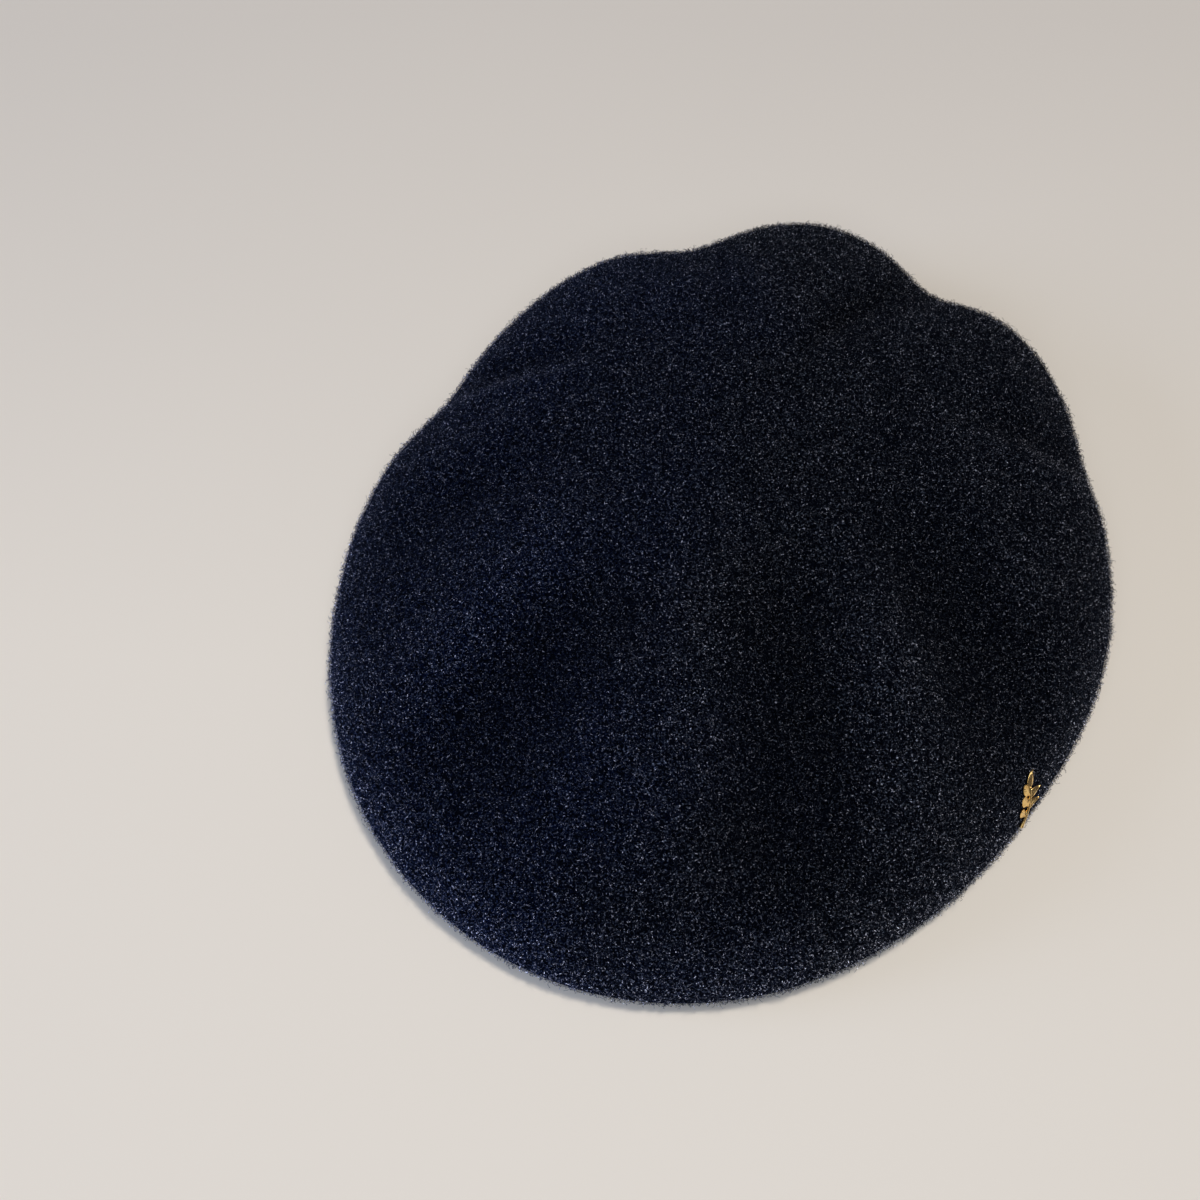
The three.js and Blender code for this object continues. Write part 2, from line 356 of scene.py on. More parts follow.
def write_painted_shading(piece: bpy.types.Object, values: np.ndarray) -> None:
    """Stores the painted shading, painted shade and highlight, at each vertex for the wool's colour to
    read.
    """
    painted_shading = piece.data.attributes.new("painted_shading", "FLOAT", "POINT")
    painted_shading.data.foreach_set("value", values.astype(np.float32))


def mesh_from(
    name: str, points: np.ndarray, triangles: np.ndarray, material: bpy.types.Material
) -> bpy.types.Object:
    """Makes a smooth-shaded piece from arrays.

    Args:
        name: the piece's name.
        points: its vertices, in metres.
        triangles: three vertex numbers a row.
        material: its one material.

    Returns:
        The new object, at the origin.
    """
    mesh = bpy.data.meshes.new(name)
    mesh.vertices.add(len(points))
    mesh.vertices.foreach_set("co", points.astype(np.float32).ravel())
    mesh.loops.add(triangles.size)
    mesh.loops.foreach_set("vertex_index", triangles.astype(np.int32).ravel())
    mesh.polygons.add(len(triangles))
    mesh.polygons.foreach_set("loop_start", np.arange(0, triangles.size, 3, dtype=np.int32))
    mesh.polygons.foreach_set("use_smooth", np.ones(len(triangles), dtype=bool))
    mesh.update(calc_edges=True)
    mesh.validate()
    mesh.materials.append(material)
    piece = bpy.data.objects.new(name, mesh)
    bpy.context.collection.objects.link(piece)
    return piece


# ---- Shader building


class Nodes:
    """Puts nodes in a tree and links them, so that a material reads as a short list."""

    def __init__(self, tree: bpy.types.NodeTree) -> None:
        """Starts on an empty tree."""
        self.tree = tree
        tree.nodes.clear()

    def add(
        self, kind: str, settings: dict[str, object] | None = None, **inputs: object
    ) -> bpy.types.Node:
        """Adds a node.

        Args:
            kind: the node's type, without its ShaderNode prefix.
            settings: the node's own properties.
            inputs: for each input, by its name with _ for a space, a value or a socket.

        Returns:
            The new node.
        """
        node = self.tree.nodes.new("ShaderNode" + kind)
        for key, value in (settings or {}).items():
            setattr(node, key, value)
        for key, value in inputs.items():
            self.set(node.inputs[key.replace("_", " ")], value)
        return node

    def set(self, socket: bpy.types.NodeSocket, value: object) -> None:
        """Sets an input to a value, or links it to another node's output."""
        if isinstance(value, bpy.types.NodeSocket):
            self.tree.links.new(value, socket)
        else:
            socket.default_value = value

    def math(self, operation: str, a: object, b: object = 0.0) -> bpy.types.NodeSocket:
        """Adds a Math node on two values or sockets and returns its output."""
        node = self.tree.nodes.new("ShaderNodeMath")
        node.operation = operation
        self.set(node.inputs[0], a)
        self.set(node.inputs[1], b)
        return node.outputs[0]

    def blend(self, share: object, a: object, b: object) -> bpy.types.NodeSocket:
        """Mixes two colours by a share and returns the result."""
        node = self.tree.nodes.new("ShaderNodeMix")
        node.data_type = "RGBA"
        self.set(node.inputs["Factor"], share)
        self.set(node.inputs["A"], a)
        self.set(node.inputs["B"], b)
        return node.outputs["Result"]

    def scale(self, vector: object, factor: object) -> bpy.types.NodeSocket:
        """Scales a vector or a colour by a factor and returns the result."""
        node = self.add("VectorMath", {"operation": "SCALE"}, Scale=factor)
        self.set(node.inputs[0], vector)
        return node.outputs[0]

    def spread(
        self, value: object, low: float, high: float, to_low: float = 0, to_high: float = 1
    ) -> bpy.types.NodeSocket:
        """Maps a value from one range to another, clamped, and returns the result."""
        node = self.add("MapRange", Value=value, From_Min=low, From_Max=high)
        node.inputs["To Min"].default_value = to_low
        node.inputs["To Max"].default_value = to_high
        return node.outputs["Result"]

    def ends(self) -> tuple[bpy.types.NodeOutputs, bpy.types.NodeInputs]:
        """Adds a group's two end nodes and returns what comes in and what goes out."""
        given = self.tree.nodes.new("NodeGroupInput")
        put = self.tree.nodes.new("NodeGroupOutput")
        return given.outputs, put.inputs

    def finish(self, shader: bpy.types.Node) -> None:
        """Sends a shader to the material's surface."""
        output = self.add("OutputMaterial")
        self.set(output.inputs["Surface"], shader.outputs[0])


def new_group(name: str, inputs: dict[str, tuple[str, object]], outputs: dict[str, str]) -> Nodes:
    """Makes an empty shader node group with named sockets.

    Args:
        name: the group's name.
        inputs: for each input its socket type and its default value.
        outputs: for each output its socket type.

    Returns:
        The group's nodes, to be filled.
    """
    tree = bpy.data.node_groups.new(name, "ShaderNodeTree")
    for key, (kind, value) in inputs.items():
        socket = tree.interface.new_socket(key, in_out="INPUT", socket_type=kind)
        socket.default_value = value
    for key, kind in outputs.items():
        tree.interface.new_socket(key, in_out="OUTPUT", socket_type=kind)
    return Nodes(tree)


COLOUR = "NodeSocketColor"
NUMBER = "NodeSocketFloat"
TUFT_ROUGHNESS = 0.6  # how uneven tufts are inside
DYE_PATCHES = 14.0  # patches of bluer and plainer dye to a metre
PAINTED_COOL_LIGHT_TO_RIGHT = -7.0  # painted cool light: what a metre towards +X adds to the blueness, so the left side is bluer
HUE_RANGE = (0.4, 0.9)  # the blueness, from dye patches and painted cool light, up to which the colour is plain, and from which it is blue
GLINT_RANGE = (0.6, 5.0)  # the strengths between which a fibre goes over to the painted glint colour
GLINT_SHARE = 0.88  # how far the brightest painted glint has gone over
PALEST_GLINT = 50.0  # how many times paler than the rest the palest fibre, a painted glint, is
SHADING_RANGE = (-1.0, 3.0)  # from painted shade in hollows to the strongest painted highlight at the rim
SHADING_FACTOR = (0.55, 2.5)  # the colour's factor at those two


def wool_tint_group() -> bpy.types.NodeTree:
    """Makes the wool's colour: dye patches, painted glints, painted cool light on the left and painted
    fold shading.
    """
    nodes = new_group(
        "Wool tint and painted light",
        {
            "Deep": (COLOUR, (0, 0, 0, 1)),
            "Blue": (COLOUR, (0, 0, 0, 1)),
            "Pale": (COLOUR, (0, 0, 0, 1)),
            "Tuft size": (NUMBER, 0.001),
            "Contrast": (NUMBER, 5.0),
        },
        {"Color": COLOUR},
    )
    given, put = nodes.ends()
    place = nodes.add("TexCoord").outputs["Object"]
    drift = nodes.add("TexNoise", Vector=place, Scale=DYE_PATCHES, Detail=2.0)
    # Painted cool light: on top of the random dye patches, the colour turns bluer towards -X, the left
    # side.
    across = nodes.add("SeparateXYZ", Vector=place).outputs["X"]
    dye_and_cool_light = nodes.math("ADD", drift.outputs["Fac"], nodes.math("MULTIPLY", across, PAINTED_COOL_LIGHT_TO_RIGHT))
    hue = nodes.spread(dye_and_cool_light, *HUE_RANGE)
    ground = nodes.blend(hue, given["Deep"], given["Blue"])
    often = nodes.math("DIVIDE", 1.0, given["Tuft size"])
    tufts = nodes.add("TexNoise", Vector=place, Scale=often, Detail=2.0, Roughness=TUFT_ROUGHNESS)
    # The noise lies around one half, so that twice it, raised to a power, lies around 1.
    strength = nodes.math("MULTIPLY", tufts.outputs["Fac"], 2.0)
    strength = nodes.math("POWER", strength, given["Contrast"])
    strength = nodes.math("MINIMUM", strength, PALEST_GLINT)
    # Tone varies at random from tuft to tuft; the palest fibres are painted glints.
    glint = nodes.spread(strength, *GLINT_RANGE, 0.0, GLINT_SHARE)
    # Painted shade in the fold hollows and painted highlight on the ridges and at the rim scale the
    # colour.
    painted_shading = nodes.add("Attribute", {"attribute_name": "painted_shading"}).outputs["Fac"]
    strength = nodes.math("MULTIPLY", strength, nodes.spread(painted_shading, *SHADING_RANGE, *SHADING_FACTOR))
    nodes.set(put["Color"], nodes.scale(nodes.blend(glint, ground, given["Pale"]), strength))
    return nodes.tree


CURL_BEND = 1.6  # how far a curl strays from its place, in curl sizes
CURL_HAIRS = 3.5  # single hairs across a curl
HAIR_SHARE = 0.35  # a hair's height, in curl heights
PIT_SHADE_RANGE = (0.35, 0.75)  # the heights between which a pit, darkened by painted shade, turns into a curl
# Painted shade: the dark colour laid into the pits between the curls.
PIT_SHADE_COLOUR = (0.0010, 0.0016, 0.0040, 1)


def wool_curl_group() -> bpy.types.NodeTree:
    """Makes the fulled surface's height, matted curls of wool, and a mask of the pits between them for
    painted shade.
    """
    nodes = new_group(
        "Wool curls and pit shade", {"Curl size": (NUMBER, 0.001)}, {"Height": NUMBER, "Pit shade": NUMBER}
    )
    given, put = nodes.ends()
    place = nodes.add("TexCoord").outputs["Object"]
    often = nodes.math("DIVIDE", 1.0, given["Curl size"])
    warp = nodes.add("TexNoise", Vector=place, Scale=often, Detail=1.0)
    offset = nodes.add("VectorMath", {"operation": "SUBTRACT"})
    nodes.set(offset.inputs[0], warp.outputs["Color"])
    offset.inputs[1].default_value = (0.5, 0.5, 0.5)
    reach = nodes.math("MULTIPLY", given["Curl size"], CURL_BEND)
    bent = nodes.add("VectorMath", {"operation": "ADD"})
    nodes.set(bent.inputs[0], place)
    nodes.set(bent.inputs[1], nodes.scale(offset.outputs[0], reach))
    cells = nodes.add("TexVoronoi", {"feature": "SMOOTH_F1"}, Vector=bent.outputs[0], Scale=often)
    curl = nodes.math("SUBTRACT", 1.0, cells.outputs["Distance"])
    hairs = nodes.add(
        "TexNoise",
        {"noise_type": "RIDGED_MULTIFRACTAL"},
        Vector=bent.outputs[0],
        Scale=nodes.math("MULTIPLY", often, CURL_HAIRS),
    )
    height = nodes.math("ADD", curl, nodes.math("MULTIPLY", hairs.outputs["Fac"], HAIR_SHARE))
    nodes.set(put["Height"], height)
    nodes.set(put["Pit shade"], nodes.spread(curl, *PIT_SHADE_RANGE))
    return nodes.tree


CLOUD_RATE = 0.4  # how closely the clouding is set, against the scratches
CLOUD_RANGE = (0.3, 0.7)  # the noise from which metal clouds, and at which it is cloudiest
SCRATCH_TURN = (0.3, 0.7, 0.5)  # which way the scratches run, in radians
SCRATCH_STRETCH = (1.0, 9.0, 1.0)  # how much closer they lie across than along


def metal_wear_group() -> bpy.types.NodeTree:
    """Makes what handling does to small metal: faint clouding, and fine scratches as height."""
    nodes = new_group("Metal wear", {"Grain": (NUMBER, 0.0005)}, {"Cloud": NUMBER, "Height": NUMBER})
    given, put = nodes.ends()
    place = nodes.add("TexCoord").outputs["Object"]
    often = nodes.math("DIVIDE", 1.0, given["Grain"])
    seldom = nodes.math("MULTIPLY", often, CLOUD_RATE)
    cloud = nodes.add("TexNoise", Vector=place, Scale=seldom, Detail=3.0)
    stretch = nodes.add("Mapping", Vector=place, Rotation=SCRATCH_TURN, Scale=SCRATCH_STRETCH)
    scratch = nodes.add("TexNoise", Vector=stretch.outputs[0], Scale=often, Detail=4.0)
    nodes.set(put["Cloud"], nodes.spread(cloud.outputs["Fac"], *CLOUD_RANGE))
    nodes.set(put["Height"], scratch.outputs["Fac"])
    return nodes.tree


class Effect(Enum):
    """The shader groups that the finishes place."""

    WOOL_TINT = "Wool tint and painted light"
    WOOL_CURLS = "Wool curls and pit shade"
    METAL_WEAR = "Metal wear"


GROUP_MAKERS = {
    Effect.WOOL_TINT: wool_tint_group,
    Effect.WOOL_CURLS: wool_curl_group,
    Effect.METAL_WEAR: metal_wear_group,
}


def place_group(nodes: Nodes, effect: Effect, **inputs: object) -> bpy.types.Node:
    """Places a shared shader group in a material, building it the first time.

    Args:
        nodes: the material's nodes.
        effect: which group.
        inputs: its input values, by name with _ for a space.

    Returns:
        The group node.
    """
    tree = bpy.data.node_groups.get(effect.value) or GROUP_MAKERS[effect]()
    node = nodes.tree.nodes.new("ShaderNodeGroup")
    node.node_tree = tree
    for key, value in inputs.items():
        nodes.set(node.inputs[key.replace("_", " ")], value)
    return node


def new_material(name: str) -> tuple[bpy.types.Material, Nodes]:
    """Makes a material with an empty node tree."""
    material = bpy.data.materials.new(name)
    material.use_nodes = True
    return material, Nodes(material.node_tree)


Colour = tuple[float, float, float, float]


@dataclass(frozen=True)
class WoolFinish:
    """Dyed wool, as the matted ground of the cloth or as the fibres of its nap.

    deep is the plain dye, blue the bluest, for the dye patches and the painted cool light on the
    left, and glint the colour of the palest fibres, which are painted glints.
    """

    name: str
    deep: Colour
    blue: Colour
    glint: Colour
    tuft_size: float
    contrast: float
    roughness: float
    gloss: float
    sheen: float
    sheen_tint: Colour
    sheen_roughness: float = 0.35
    curl_size: float = 0.0
    curl_depth: float = 0.0

    def material(self) -> bpy.types.Material:
        """Builds the material, with matted curls in its height and painted shade in their pits where
        curl_size is given.
        """
        material, nodes = new_material(self.name)
        tint = place_group(
            nodes,
            Effect.WOOL_TINT,
            Deep=self.deep,
            Blue=self.blue,
            Pale=self.glint,
            Tuft_size=self.tuft_size,
            Contrast=self.contrast,
        )
        colour = tint.outputs["Color"]
        shader = nodes.add(
            "BsdfPrincipled",
            Roughness=self.roughness,
            Specular_IOR_Level=self.gloss,
            Sheen_Weight=self.sheen,
            Sheen_Roughness=self.sheen_roughness,
            Sheen_Tint=self.sheen_tint,
        )
        if self.curl_size:
            curls = place_group(nodes, Effect.WOOL_CURLS, Curl_size=self.curl_size)
            # Painted shade darkens the pits between the curls.
            colour = nodes.blend(curls.outputs["Pit shade"], PIT_SHADE_COLOUR, colour)
            bump = nodes.add(
                "Bump", Height=curls.outputs["Height"], Strength=1.0, Distance=self.curl_depth
            )
            nodes.set(shader.inputs["Normal"], bump.outputs["Normal"])
        nodes.set(shader.inputs["Base Color"], colour)
        nodes.finish(shader)
        return material


@dataclass(frozen=True)
class MetalFinish:
    """Polished or satin metal with faint clouding and fine scratches."""

    name: str
    bright: Colour
    dull: Colour
    smooth: float
    clouded: float
    grain: float
    scratch: float

    def material(self) -> bpy.types.Material:
        """Builds the material."""
        material, nodes = new_material(self.name)
        wear = place_group(nodes, Effect.METAL_WEAR, Grain=self.grain)
        cloud = wear.outputs["Cloud"]
        bump = nodes.add("Bump", Height=wear.outputs["Height"], Strength=1.0, Distance=self.scratch)
        shader = nodes.add(
            "BsdfPrincipled",
            Base_Color=nodes.blend(cloud, self.bright, self.dull),
            Metallic=1.0,
            Roughness=nodes.spread(cloud, 0, 1, self.smooth, self.clouded),
            Normal=bump.outputs["Normal"],
        )
        nodes.finish(shader)
        return material


GROUND = WoolFinish(
    name="fulled_wool",
    deep=(0.0011, 0.0016, 0.0042, 1),
    blue=(0.0007, 0.0026, 0.0150, 1),
    glint=(0.0028, 0.0034, 0.0046, 1),
    tuft_size=0.0007,
    contrast=11.0,
    roughness=0.95,
    gloss=0.0,
    sheen=0.03,
    sheen_tint=(0.52, 0.64, 1.0, 1),
    curl_size=0.0013,
    curl_depth=0.0009,
)
NAP = WoolFinish(
    name="wool_nap",
    deep=(0.0098, 0.0118, 0.0212, 1),
    blue=(0.0050, 0.0125, 0.0540, 1),
    glint=(0.0170, 0.0178, 0.0216, 1),
    tuft_size=0.0008,
    contrast=12.5,
    roughness=0.5,
    gloss=0.01,
    sheen=0.03,
    sheen_tint=(0.56, 0.68, 1.0, 1),
)
GILT = MetalFinish(
    name="gilt",
    bright=(1.0, 0.72, 0.30, 1),
    dull=(0.88, 0.56, 0.19, 1),
    smooth=0.15,
    clouded=0.30,
    grain=0.0006,
    scratch=0.00002,
)
BRASS = MetalFinish(
    name="satin_brass",
    bright=(0.72, 0.58, 0.32, 1),
    dull=(0.50, 0.38, 0.20, 1),
    smooth=0.30,
    clouded=0.48,
    grain=0.0005,
    scratch=0.00002,
)


# ---- The cloth


@dataclass
class Cloth:
    """The beret's cloth: crown, turned rim, underside and the edge of the head opening, in one."""

    form: BeretForm
    around: int = 144
    crown_rows: int = 38
    turn_rows: int = 8
    slope_rows: int = 4
    ring_rows: int = 3
    lump_size: float = 0.014
    lump_height: float = 0.0009

    def runs(self) -> np.ndarray:
        """Lists the rows from the head opening, 4, up to the last one round the apex."""
        down = [
            np.linspace(4, 3, self.ring_rows, endpoint=False),
            np.linspace(3, 2, self.slope_rows, endpoint=False),
            np.linspace(2, 1, self.turn_rows, endpoint=False),
            np.linspace(1, 0, self.crown_rows, endpoint=False),
        ]
        return np.concatenate(down)

    def turned_blank(self) -> bpy.types.Object:
        """Extrudes a round blank, ring by ring, from the head opening over the rim to the apex."""
        angle = np.linspace(0, FULL_TURN, self.around, endpoint=False)
        rows = self.form.outer(angle[None, :], self.runs()[:, None]) * MM
        radius = np.hypot(rows[..., 0], rows[..., 1]).mean(axis=1)
        height = rows[..., 2].mean(axis=1)
        nothing_selected()
        bpy.ops.mesh.primitive_circle_add(
            vertices=self.around,
            radius=radius[0],
            location=(0, 0, height[0]),
            enter_editmode=True,
        )
        for row in range(1, len(radius)):
            rise = (0, 0, height[row] - height[row - 1])
            bpy.ops.mesh.extrude_region_move(TRANSFORM_OT_translate={"value": rise})
            grow = radius[row] / radius[row - 1]
            bpy.ops.transform.resize(value=(grow, grow, 1), center_override=(0, 0, 0))
        bpy.ops.mesh.extrude_region_move()
        bpy.ops.mesh.merge(type="CENTER")
        bpy.ops.object.mode_set(mode="OBJECT")
        return just_added("beret_cloth")

    def slump(self, piece: bpy.types.Object) -> None:
        """Moves the blank's vertices to where the worn cloth has sagged and folded."""
        blank = read_points(piece.data).astype(float)
        rings = np.minimum(np.arange(len(blank)) // self.around, len(self.runs()))
        run = np.append(self.runs(), 0.0)[rings]
        angle = np.arctan2(blank[:, 1], blank[:, 0])
        worn = (self.form.outer(angle, run) + self.form.shift()) * MM
        write_points(piece.data, worn)

    def settle(self, piece: bpy.types.Object) -> None:
        """Sets the cloth down on the surface, so that no lump dips below it, and stores its painted
        shading.
        """
        points = read_points(piece.data)
        points[:, 2] = np.maximum(points[:, 2], 0)
        write_points(piece.data, points)
        write_painted_shading(piece, self.form.painted_shading(points.astype(float)))

    def build(self) -> bpy.types.Object:
        """Models the cloth at its full thickness.

        Returns:
            The piece, at the origin.
        """
        piece = self.turned_blank()
        bpy.ops.object.transform_apply(location=True, rotation=True, scale=True)
        self.slump(piece)
        only(piece)
        bpy.ops.object.mode_set(mode="EDIT")
        bpy.ops.mesh.select_all(action="SELECT")
        bpy.ops.mesh.normals_make_consistent(inside=False)
        bpy.ops.object.mode_set(mode="OBJECT")
        bpy.ops.object.shade_smooth()
        ground = GROUND.material()
        piece.data.materials.append(ground)
        piece.data.materials.append(ground)
        lumps = bpy.data.textures.new("cloth lumps", "CLOUDS")
        lumps.noise_scale = self.lump_size
        apply_modifier(
            piece,
            "lumps",
            "DISPLACE",
            texture=lumps,
            texture_coords="LOCAL",
            strength=self.lump_height,
            mid_level=0.5,
        )
        apply_modifier(
            piece,
            "wall",
            "SOLIDIFY",
            thickness=self.form.wall * MM,
            offset=-1,
            use_even_offset=True,
            material_offset=1,
        )
        apply_modifier(piece, "rounding", "SUBSURF", levels=1, render_levels=1)
        self.settle(piece)
        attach(piece, "root")
        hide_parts("crown")
        return piece


# ---- The sprig


@dataclass(frozen=True)
class Leaf:
    """One leaf: how far along the stem it starts, its heading in degrees, and its size in mm."""

    name: str
    along: float
    heading: float
    length: float
    width: float


LEAVES = (
    Leaf("tip leaf", 4, 0, 6.4, 3.4),
    Leaf("upper left leaf", 2.2, -50, 6.0, 3.4),
    Leaf("upper right leaf", 0.9, 48, 6.0, 3.4),
    Leaf("middle left leaf", -1.4, -56, 6.2, 3.5),
    Leaf("middle right leaf", -2.9, 54, 6.2, 3.5),
    Leaf("lower left leaf", -5, -60, 5.6, 3.2),
)


@dataclass
class Sprig:
    """The gilt sprig: leaves and a boss on a bowed stem, cast in one, with the post behind it.

    It is modelled flat, in millimetres, with y along the stem and z out of the cloth, and is then
    bent to the crown. There it sits at an angle round the hat and leans over, both in degrees, and
    station is how far down the crown it is, from 0 at the apex to 1 at the rim.
    """

    form: BeretForm
    at: float = -40
    station: float = 0.83
    lean: float = 34
    stand_off: float = 0.6
    stem: tuple[float, float] = (-9, 5)
    stem_steps: int = 14
    stem_radius: float = 0.55
    stem_lift: float = 1.2
    stem_foot: float = 1.15
    stem_taper: float = 0.45
    foot_flare: float = 0.35
    foot_reach: float = 0.12
    bow: float = 0.9
    thickness: float = 0.9
    leaf_rows: int = 40
    leaf_columns: int = 18
    leaf_body: float = 0.45
    belly: float = 0.14
    outline_power: float = 0.9
    camber: float = 0.5
    tip_lift: float = 0.5
    vein: float = 0.2
    vein_half: float = 0.2
    side_vein: float = 0.07
    side_slant: float = 0.9
    side_start: float = 0.4
    vein_pitch: float = 0.95
    boss_radius: float = 1.25
    boss_lift: float = 0.55
    post_radius: float = 0.6
    post_inside: float = 5.2
    post_round: float = 0.25
    cast_grain: float = 0.125

    def stem_x(self, along: np.ndarray) -> np.ndarray:
        """Gives how far the bowed stem stands aside at a distance along it."""
        start, end = self.stem
        return self.bow * np.sin(np.pi * (along - start) / (end - start))

    def leaf(self, leaf: Leaf) -> bpy.types.Object:
        """Shapes one leaf from a grid: a pointed outline, a cambered face and raised veins."""
        nothing_selected()
        bpy.ops.mesh.primitive_grid_add(
            x_subdivisions=self.leaf_columns, y_subdivisions=self.leaf_rows, size=2
        )
        piece = just_added(leaf.name.replace(" ", "_"))
        turn = math.radians(leaf.heading)
        for vertex in piece.data.vertices:
            u, v = vertex.co.x, vertex.co.y
            # The widest place lies a little nearer the stem than the tip.
            full = (v + self.belly * (1 - v * v)) if v < 1 else 1
            half = leaf.width / 2 * max(1 - full * full, 0) ** self.outline_power
            x, y = u * half, (v + 1) / 2 * leaf.length
            rib = self.vein * math.exp(-((x / self.vein_half) ** 2))
            wave = math.cos(FULL_TURN * (y - self.side_slant * abs(x)) / self.vein_pitch)
            side = self.side_vein * wave * min(abs(x) / self.side_start, 1) * (1 - abs(u))
            lift = self.thickness - self.vein - self.camber * u * u + rib + side
            lift += self.tip_lift * ((v + 1) / 2) ** 2
            across = x * math.cos(turn) + y * math.sin(turn)
            ahead = y * math.cos(turn) - x * math.sin(turn)
            start = float(self.stem_x(np.float64(leaf.along)))
            vertex.co = (start + across, leaf.along + ahead, self.stand_off + lift)
        apply_modifier(piece, "body", "SOLIDIFY", thickness=self.thickness * self.leaf_body, offset=-1)
        return piece

    def stem_rod(self) -> bpy.types.Object:
        """Extrudes the stem from its cut foot to the tip leaf, thinner towards the tip."""
        start, end = self.stem
        nothing_selected()
        bpy.ops.mesh.primitive_circle_add(
            vertices=16,
            radius=1,
            fill_type="NGON",
            rotation=(math.pi / 2, 0, 0),
            enter_editmode=True,
        )
        for _ in range(self.stem_steps):
            bpy.ops.mesh.extrude_region_move(TRANSFORM_OT_translate={"value": (0, 1, 0)})
        bpy.ops.mesh.select_all(action="SELECT")
        bpy.ops.mesh.normals_make_consistent(inside=False)
        bpy.ops.object.mode_set(mode="OBJECT")
        bpy.ops.object.transform_apply(location=True, rotation=True, scale=True)
        piece = just_added("stem")
        reach = max(abs(vertex.co.y) for vertex in piece.data.vertices)
        for vertex in piece.data.vertices:
            share = abs(vertex.co.y) / reach
            along = start + (end - start) * share
            flare = self.foot_flare * max(1 - share / self.foot_reach, 0)
            thick = self.stem_radius * (self.stem_foot - self.stem_taper * share + flare)
            aside = float(self.stem_x(np.float64(along)))
            lift = self.stand_off + self.stem_radius * self.stem_lift
            vertex.co = (aside + vertex.co.x * thick, along, lift + vertex.co.z * thick)
        return piece

    def boss(self) -> bpy.types.Object:
        """Domes the boss that carries the post."""
        nothing_selected()
        bpy.ops.mesh.primitive_uv_sphere_add(
            segments=24, ring_count=12, radius=1, location=(0, 0, 0)
        )
        piece = just_added("boss")
        middle = self.stand_off + self.thickness * self.boss_lift
        dome = (self.boss_radius, self.boss_radius, self.thickness / 2)
        bpy.ops.transform.resize(value=dome, center_override=(0, 0, 0))
        bpy.ops.transform.translate(value=(0, 0, middle))
        bpy.ops.object.transform_apply(location=True, rotation=True, scale=True)
        return piece

    def post(self) -> bpy.types.Object:
        """Turns the post, from behind the boss through the cloth, with a rounded end."""
        top = self.stand_off + self.thickness / 2
        low = -self.form.wall - self.post_inside
        nothing_selected()
        bpy.ops.mesh.primitive_cylinder_add(
            vertices=24, radius=self.post_radius, depth=top - low, location=(0, 0, (top + low) / 2)
        )
        piece = just_added("post")
        bpy.ops.object.transform_apply(location=True, rotation=True, scale=True)
        apply_modifier(piece, "round end", "BEVEL", width=self.post_round, segments=3)
        return piece

    def bend_to_crown(self, piece: bpy.types.Object) -> None:
        """Lays the flat casting on the crown, and turns its millimetres into metres."""
        x, y, lift = read_points(piece.data).astype(float).T
        lean = math.radians(self.lean)
        angle, run = math.radians(self.at), self.station
        per_angle, per_run = self.form.steps(np.float64(angle), np.float64(run))
        sideways = y * math.sin(lean) + x * math.cos(lean)
        upwards = y * math.cos(lean) - x * math.sin(lean)
        angle = angle + sideways / np.linalg.norm(per_angle)
        run = run - upwards / np.linalg.norm(per_run)
        round_rim, up_crown = self.form.steps(angle, run)
        out = unit(np.cross(round_rim, up_crown))
        laid = self.form.outer(angle, run) + self.form.shift() + out * lift[:, None]
        write_points(piece.data, laid * MM)

    def build(self) -> bpy.types.Object:
        """Models the sprig.

        Returns:
            The piece, at the origin.
        """
        parts = [self.leaf(leaf) for leaf in LEAVES]
        parts += [self.stem_rod(), self.boss(), self.post()]
        nothing_selected()
        for part in parts:
            part.select_set(True)
        bpy.context.view_layer.objects.active = parts[0]
        bpy.ops.object.join()
        piece = just_added("leaf_sprig")
        apply_modifier(piece, "casting", "REMESH", mode="VOXEL", voxel_size=self.cast_grain)
        apply_modifier(piece, "polishing", "SMOOTH", factor=0.5, iterations=3)
        self.bend_to_crown(piece)
        piece.data.materials.clear()
        piece.data.materials.append(GILT.material())
        only(piece)
        bpy.ops.object.shade_smooth()
        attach(piece, "root")
        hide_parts("ornament")
        return piece


def dress_clutch() -> None:
    """Gives the clutch behind the cloth its stamped brass."""
    clutch = bpy.data.objects["clutch"]
    clutch.data.materials.clear()
    clutch.data.materials.append(BRASS.material())


# ---- The nap


@dataclass(frozen=True)
class NapLayer:
    """One kind of fibre in the nap. Lengths are in metres.

    A fibre has the given number of segments between its two tips, leaves the cloth in any direction
    and is about as long as length. rise is how high its far tip ends over the cloth, bow how much
    its middle arches over that, and curl how far it sways aside, all as shares of its length.
    """

    name: str
    pieces: int
    fibres: int
    segments: int
    length: float
    thickness: float
    rise: tuple[float, float]
    bow: tuple[float, float]
    curl: float


NAP_LAYERS = (
    NapLayer("nap_curls", 3, 31200, 2, 0.0018, 0.00018, (-0.05, 0.4), (0.15, 0.45), 0.35),
    NapLayer("nap_hairs", 2, 11000, 3, 0.0021, 0.00014, (0.2, 0.8), (0.10, 0.45), 0.40),
)


